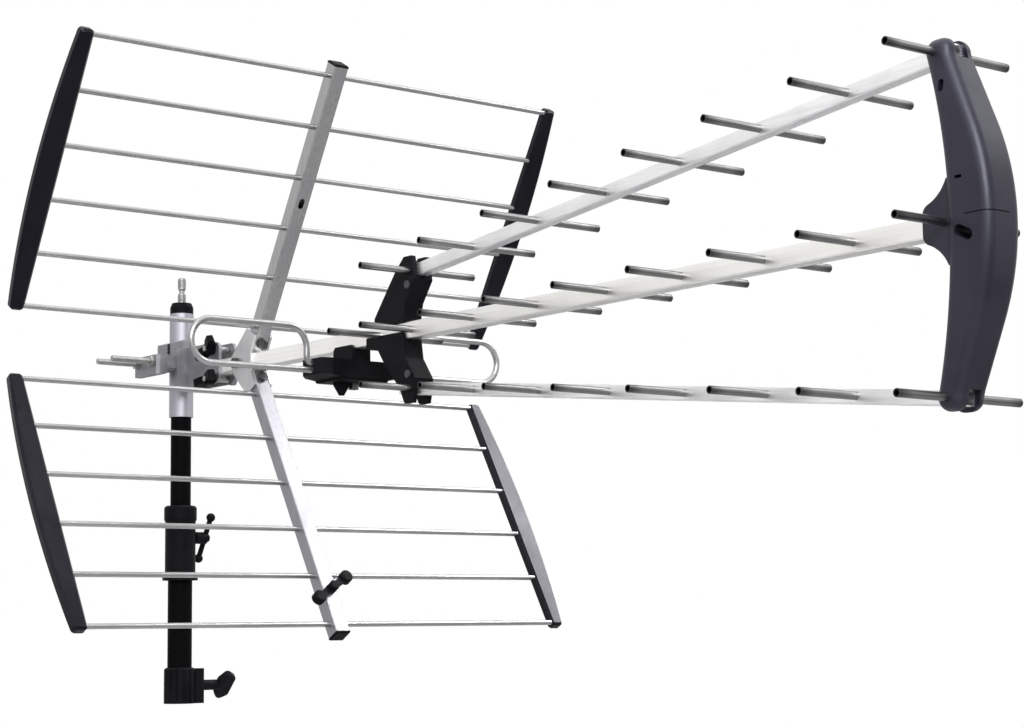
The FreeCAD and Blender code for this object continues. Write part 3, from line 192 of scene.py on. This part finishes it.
# plated or cast metal: mottled, with a rough skin
def mottledMetal(name, look):
    material, tree, shader = newMaterial(name)
    cloud = noiseOn(tree, placeOn(tree, (1, 1, 1)), look["cloud"], detail=7, rough=0.62)
    skin = noiseOn(tree, placeOn(tree, (1, 1, 1)), look["skin"], detail=3)
    mottle = rampOn(tree, cloud, list(zip(noiseSpan, (look["dark"], look["light"]))))
    tree.links.new(mottle, shader.inputs["Base Color"])
    tree.links.new(spanOn(tree, cloud, *noiseSpan, *look["rough"]), shader.inputs["Roughness"])
    shader.inputs["Metallic"].default_value = look["metal"]
    bumpOn(tree, shader, skin, look["depth"])
    return material


tubeLook = {"streak": (3, 420, 420), "turn": (0, 0, 0), "patch": 16.0, "streakSpan": (0.25, 0.7),
            "patchSpan": (0.45, 0.8), "rough": (0.28, 0.44), "groove": 0.00006}
boomMetal = drawnTube("boomAluminium", dict(
    tubeLook, dark=(0.81, 0.8, 0.78), light=(0.93, 0.92, 0.9), dull=(0.8, 0.78, 0.75)))
sideMetal = drawnTube("sideBoomAluminium", dict(
    tubeLook, dark=(0.76, 0.755, 0.765), light=(0.9, 0.895, 0.905), dull=(0.7, 0.69, 0.7)))
rodLook = dict(tubeLook, streak=(420, 3, 420), dark=(0.27, 0.27, 0.273), light=(0.41, 0.41, 0.414),
               dull=(0.28, 0.28, 0.28))
rodMetal = drawnTube("rodAluminium", rodLook)
# the directors get painted shade, darker towards both ends
directorMetal = drawnTube("directorAluminium", dict(
    rodLook, dark=(0.14, 0.14, 0.14), light=(0.25, 0.25, 0.25), dull=(0.18, 0.18, 0.18),
    endFrom=0.05, endTo=0.064, endShadeColour=(0.07, 0.07, 0.07)))
spineLook = dict(tubeLook, streak=(420, 420, 3), dull=(0.33, 0.33, 0.345), rough=(0.42, 0.58))
# painted shade: the two spines are one aluminium, and each copy's tone is darkened to how light falls on
# that spine
spineShadedMetal = {
    "upper": drawnTube("upperSpineAluminiumShaded", dict(
        spineLook, turn=(0, -30, 0), dark=(0.3, 0.3, 0.303), light=(0.4, 0.4, 0.404), rough=(0.26, 0.38),
        groove=0.00003)),
    "lower": drawnTube("lowerSpineAluminiumShaded", dict(
        spineLook, turn=(0, 30, 0), dark=(0.24, 0.238, 0.258), light=(0.34, 0.337, 0.365))),
}
sleeveMetal = drawnTube("sleeveAluminium", dict(
    tubeLook, streak=(420, 420, 3), dark=(0.325, 0.32, 0.355), light=(0.415, 0.41, 0.455),
    dull=(0.36, 0.36, 0.39), rough=(0.46, 0.6)))

blackLook = {"grain": 900.0, "flow": 22.0, "dust": 60.0, "dark": (0.003, 0.003, 0.004),
             "light": (0.008, 0.008, 0.0095), "dustColour": (0.03, 0.03, 0.032), "rough": (0.38, 0.52),
             "shine": 0.035, "tint": (1, 1, 1), "depth": 0.00008, "dustSpan": (0.5, 0.85),
             "upSpan": (0.2, 1.0)}
blackPlastic = mouldedPlastic("blackPlastic", blackLook)
forkPlastic = mouldedPlastic("forkPlastic", dict(blackLook, light=(0.007, 0.007, 0.009), shine=0.045))
slatePlastic = mouldedPlastic("slatePlastic", dict(
    blackLook, dark=(0.007, 0.006, 0.012), light=(0.014, 0.013, 0.022), dustColour=(0.05, 0.05, 0.065),
    rough=(0.36, 0.48), shine=0.4, tint=(0.84, 0.86, 1)))
stripPlastic = mouldedPlastic("stripPlastic", dict(
    blackLook, dark=(0.003, 0.003, 0.005), light=(0.007, 0.007, 0.01), rough=(0.28, 0.36), shine=0.13,
    tint=(0.87, 0.84, 1), depth=0.00003))
rubber = mouldedPlastic("glandRubber", dict(blackLook, rough=(0.6, 0.8)))
mastPaint = sprayedPaint("mastPaint", {
    "peel": 700.0, "rubScale": (30, 30, 6), "colour": (0.003, 0.003, 0.0035), "worn": (0.016, 0.016, 0.018),
    "rubSpan": (0.6, 0.78), "rough": (0.32, 0.5), "shine": 0.015, "depth": 0.00005})
zincPlate = mottledMetal("zincPlate", {
    "cloud": 90.0, "skin": 1200.0, "dark": (0.24, 0.24, 0.24), "light": (0.4, 0.39, 0.38),
    "rough": (0.3, 0.48), "metal": 1.0, "depth": 0.00003})
platePress = mottledMetal("pressedPlate", {
    "cloud": 60.0, "skin": 900.0, "dark": (0.42, 0.42, 0.43), "light": (0.56, 0.56, 0.57),
    "rough": (0.38, 0.52), "metal": 1.0, "depth": 0.00003})
blackenedSteel = mottledMetal("blackenedSteel", {
    "cloud": 110.0, "skin": 1200.0, "dark": (0.03, 0.03, 0.032), "light": (0.075, 0.075, 0.08),
    "rough": (0.35, 0.5), "metal": 0.6, "depth": 0.00003})
castMetal = mottledMetal("castMetal", {
    "cloud": 70.0, "skin": 650.0, "dark": (0.2, 0.2, 0.215), "light": (0.3, 0.3, 0.32), "rough": (0.42, 0.6),
    "metal": 0.85, "depth": 0.00012})
nickelPlate = mottledMetal("nickelPlate", {
    "cloud": 130.0, "skin": 1500.0, "dark": (0.1, 0.095, 0.09), "light": (0.2, 0.19, 0.18),
    "rough": (0.3, 0.42), "metal": 1.0, "depth": 0.00002})
boardLaminate = mottledMetal("boardLaminate", {
    "cloud": 50.0, "skin": 900.0, "dark": (0.13, 0.1, 0.045), "light": (0.2, 0.16, 0.08),
    "rough": (0.5, 0.6), "metal": 0.0, "depth": 0.00004})
print("materials made")


# finishes of the pieces

finishOf = {
    "main_boom": boomMetal, "mast_sleeve": sleeveMetal, "clamp_body": castMetal, "spreader": slatePlastic,
    "balun_board": boardLaminate, "cable_gland": rubber, "cable_socket": nickelPlate,
    "lower_tube": mastPaint, "upper_tube": mastPaint, "dipole_left": rodMetal, "dipole_right": rodMetal,
    "directors_main": directorMetal, "director_rear": directorMetal,
    "reflector_plate_left": platePress, "reflector_plate_right": platePress,
}
for name in ("top_stud", "u_bolt", "u_bolt_nuts", "clamp_bolts"):
    finishOf[name] = zincPlate
for name in ("reflector_bolts", "reflector_nuts", "fork_screws"):
    finishOf[name] = blackenedSteel
for name in ("base_collar", "base_knob", "upper_collar", "collar_knob", "mast_cap", "wing_nuts",
             "spine_plugs", "spine_screw", "balun_box", "balun_lid"):
    finishOf[name] = blackPlastic
for level in levels:
    finishOf["spine_" + level] = spineShadedMetal[level]
    finishOf["fork_" + level] = forkPlastic
    finishOf["side_boom_" + level] = sideMetal
    finishOf["directors_" + level] = directorMetal
    for hand in ("left", "right"):
        finishOf[f"end_strip_{level}_{hand}"] = stripPlastic
    for number in range(1, 7):
        finishOf[f"reflector_rod_{level}_{number}"] = rodMetal

for name, material in finishOf.items():
    mesh = nodes[name].data
    mesh.materials.clear()
    mesh.materials.append(material)
print("finishes given to", len(finishOf), "nodes")


# pieces added to the solids
def addPiece(name, shape, material, body):
    mesh = bpy.data.meshes.new(name)
    bmesh.ops.recalc_face_normals(shape, faces=shape.faces)
    shape.to_mesh(mesh)
    shape.free()
    mesh.materials.append(material)
    piece = bpy.data.objects.new(name, mesh)
    bpy.context.scene.collection.objects.link(piece)
    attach(piece, body)
    return piece


# a ridge of triangular section wound round a shaft
def windThread(shape, start, along, length, look):
    along = Vector(along)
    side = along.orthogonal().normalized()
    flank = along * look["pitch"] * look["flank"]
    root = start + side * (look["radius"] - look["sunk"])
    crest = start + side * (look["radius"] + look["height"])
    section = [shape.verts.new(point) for point in (root - flank, crest, root + flank)]
    rim = [shape.edges.new((section[k], section[(k + 1) % 3])) for k in range(3)]
    steps = round(length / look["pitch"] * look["perTurn"])
    angle = 2 * math.pi * steps / look["perTurn"]
    spun = bmesh.ops.spin(shape, geom=section + rim, cent=start, axis=along, dvec=along * (length / steps),
                          angle=angle, steps=steps)
    last = [item for item in spun["geom_last"] if isinstance(item, bmesh.types.BMVert)]
    shape.faces.new(section)
    shape.faces.new(last)


# extrudes an edge along a line, and gives its new place
def pullEdge(shape, rim, way):
    edges = [item for item in rim if isinstance(item, bmesh.types.BMEdge)]
    pulled = bmesh.ops.extrude_edge_only(shape, edges=edges)["geom"]
    corners = [item for item in pulled if isinstance(item, bmesh.types.BMVert)]
    bmesh.ops.translate(shape, vec=way, verts=corners)
    return corners + [edge for edge in corners[0].link_edges if edge.other_vert(corners[0]) in corners]


uLow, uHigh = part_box("u_bolt")
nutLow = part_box("u_bolt_nuts")[0]
legThread = {"radius": (uHigh[2] - uLow[2]) / 2, "height": 0.0003, "sunk": 0.0002,
             "pitch": 0.0011, "flank": 0.46, "perTurn": 14, "endGap": 0.0006}
shape = bmesh.new()
for legX in (uLow[0] + legThread["radius"], uHigh[0] - legThread["radius"]):
    start = Vector((legX, nutLow[1], (uLow[2] + uHigh[2]) / 2))
    windThread(shape, start, (0, -1, 0), nutLow[1] - uLow[1] - legThread["endGap"], legThread)
addPiece("uBoltThreads", shape, zincPlate, "antenna")

studLow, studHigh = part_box("top_stud")
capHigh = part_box("mast_cap")[1]
studThread = dict(legThread, radius=(studHigh[0] - studLow[0]) / 2, height=0.0004, pitch=0.0014,
                  runs=((0.06, 0.32), (0.6, 0.93)))  # shares of the stud, below and above its groove
studLength = studHigh[2] - capHigh[2]
shape = bmesh.new()
for first, last in studThread["runs"]:
    start = Vector((0, 0, capHigh[2] + first * studLength))
    windThread(shape, start, (0, 0, 1), (last - first) * studLength, studThread)
addPiece("studThreads", shape, zincPlate, "upper_mast")

# the parting line of the spreader, round its near front edge
bowLow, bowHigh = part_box("spreader")
seam = {"rise": 0.0022, "half": 0.00045, "proud": 0.00008, "thick": 0.0006, "soft": 0.008,
        "back": 0.0215, "end": 0.004, "steps": 6}
bowFront, bowSide = bowHigh[0], bowLow[1]
seamHeight = (bowLow[2] + bowHigh[2]) / 2 + seam["rise"]
corner = Vector((bowFront - seam["soft"], bowSide + seam["soft"], seamHeight))
start = Vector((bowFront - seam["back"], bowSide - seam["proud"], seamHeight))
shape = bmesh.new()
rim = [shape.verts.new(start + Vector((0, 0, rise))) for rise in (-seam["half"], seam["half"])]
rim.append(shape.edges.new(rim))
rim = pullEdge(shape, rim, (seam["back"] - seam["soft"], 0, 0))
rim = bmesh.ops.spin(shape, geom=rim, cent=corner, axis=(0, 0, 1), angle=math.pi / 2,
                     steps=seam["steps"])["geom_last"]
pullEdge(shape, rim, (0, seam["end"] - corner.y, 0))
bmesh.ops.recalc_face_normals(shape, faces=shape.faces)
bmesh.ops.solidify(shape, geom=shape.faces[:], thickness=seam["thick"])
addPiece("spreaderSeam", shape, blackPlastic, "antenna")
print("pieces added")


# stage: floor, light, camera

stageLook = {"floorMiddle": (0.4, 0, -0.75), "floorSize": 22.0, "floorColour": (0.6, 0.6, 0.6, 1),
             "floorRough": 0.9, "floorGlow": 0.95, "skyColour": (0.96, 0.97, 1.0, 1), "skyStrength": 0.42}
floorMesh = bpy.data.meshes.new("floor")
shape = bmesh.new()
bmesh.ops.create_grid(shape, x_segments=1, y_segments=1, size=stageLook["floorSize"] / 2)
bmesh.ops.translate(shape, vec=stageLook["floorMiddle"], verts=shape.verts)
shape.to_mesh(floorMesh)
shape.free()
floor = bpy.data.objects.new("floor", floorMesh)
bpy.context.scene.collection.objects.link(floor)

floorMaterial, tree, shader = newMaterial("paleFloor")
shader.inputs["Base Color"].default_value = stageLook["floorColour"]
shader.inputs["Roughness"].default_value = stageLook["floorRough"]
rays = addNode(tree, "ShaderNodeLightPath")
glow = addNode(tree, "ShaderNodeEmission")
part = addNode(tree, "ShaderNodeMath", operation="MULTIPLY")
part.inputs[1].default_value = stageLook["floorGlow"]  # the camera sees the floor almost white
blendFloor = addNode(tree, "ShaderNodeMixShader")
tree.links.new(rays.outputs["Is Camera Ray"], part.inputs[0])
tree.links.new(part.outputs[0], blendFloor.inputs["Fac"])
tree.links.new(shader.outputs["BSDF"], blendFloor.inputs[1])
tree.links.new(glow.outputs["Emission"], blendFloor.inputs[2])
tree.links.new(blendFloor.outputs["Shader"], tree.nodes["Material Output"].inputs["Surface"])
floorMesh.materials.append(floorMaterial)

world = bpy.data.worlds.new("studio")
bpy.context.scene.world = world
world.use_nodes = True
tree = world.node_tree
sky = tree.nodes["Background"]
sky.inputs["Color"].default_value = stageLook["skyColour"]
sky.inputs["Strength"].default_value = stageLook["skyStrength"]
white = addNode(tree, "ShaderNodeBackground")
white.inputs["Color"].default_value = (1, 1, 1, 1)
rays = addNode(tree, "ShaderNodeLightPath")
seen = addNode(tree, "ShaderNodeMath", operation="MAXIMUM")
seenAll = addNode(tree, "ShaderNodeMath", operation="MAXIMUM")
blendSky = addNode(tree, "ShaderNodeMixShader")
tree.links.new(rays.outputs["Is Camera Ray"], seen.inputs[0])
tree.links.new(rays.outputs["Is Glossy Ray"], seen.inputs[1])
tree.links.new(seen.outputs[0], seenAll.inputs[0])
tree.links.new(rays.outputs["Is Transmission Ray"], seenAll.inputs[1])
tree.links.new(seenAll.outputs[0], blendSky.inputs["Fac"])
tree.links.new(sky.outputs["Background"], blendSky.inputs[1])
tree.links.new(white.outputs["Background"], blendSky.inputs[2])
tree.links.new(blendSky.outputs["Shader"], tree.nodes["World Output"].inputs["Surface"])

lamps = [
    {"name": "topSoftbox", "place": (0.5, -0.1, 2.7), "aim": (0.5, 0, 0.3),
     "size": 3.6, "power": 40, "spread": 180},
    {"name": "keySoftbox", "place": (1.6, -2.6, 1.9), "aim": (0.5, 0, 0.35),
     "size": 2.4, "power": 20, "spread": 180},
    {"name": "frontSoftbox", "place": (3.05, -1.65, 1.9), "aim": (1.1, 0, 0.45),
     "size": 1.3, "power": 115, "spread": 180},
    {"name": "rearSoftbox", "place": (1.05, 2.15, 2.0), "aim": (0.25, 0.75, 0.2),
     "size": 0.9, "power": 5.5, "spread": 36},
    {"name": "bowSoftbox", "place": (1.85, 1.7, 1.9), "aim": (1.1, 0, 0.45),
     "size": 0.9, "power": 7, "spread": 180},
]
for lamp in lamps:
    light = bpy.data.lights.new(lamp["name"], "AREA")
    light.shape = "SQUARE"
    light.size = lamp["size"]
    light.energy = lamp["power"]
    light.spread = math.radians(lamp["spread"])
    holder = bpy.data.objects.new(lamp["name"], light)
    holder.location = lamp["place"]
    holder.rotation_euler = (Vector(lamp["aim"]) - Vector(lamp["place"])).to_track_quat("-Z", "Y").to_euler()
    bpy.context.scene.collection.objects.link(holder)

shot = {"place": (2.08279, -1.18724, 0.07061), "turn": (96.9913, 0.6904, 51.7641),
        "lens": 77.1, "sensor": 36.0, "reach": 100}
cameraData = bpy.data.cameras.new("camera")
cameraData.lens = shot["lens"]
cameraData.sensor_width = shot["sensor"]
cameraData.clip_end = shot["reach"]
camera = bpy.data.objects.new("camera", cameraData)
camera.location = shot["place"]
camera.rotation_euler = [math.radians(a) for a in shot["turn"]]
bpy.context.scene.collection.objects.link(camera)
bpy.context.scene.camera = camera
bpy.context.scene.view_settings.view_transform = "Standard"
print("stage set")
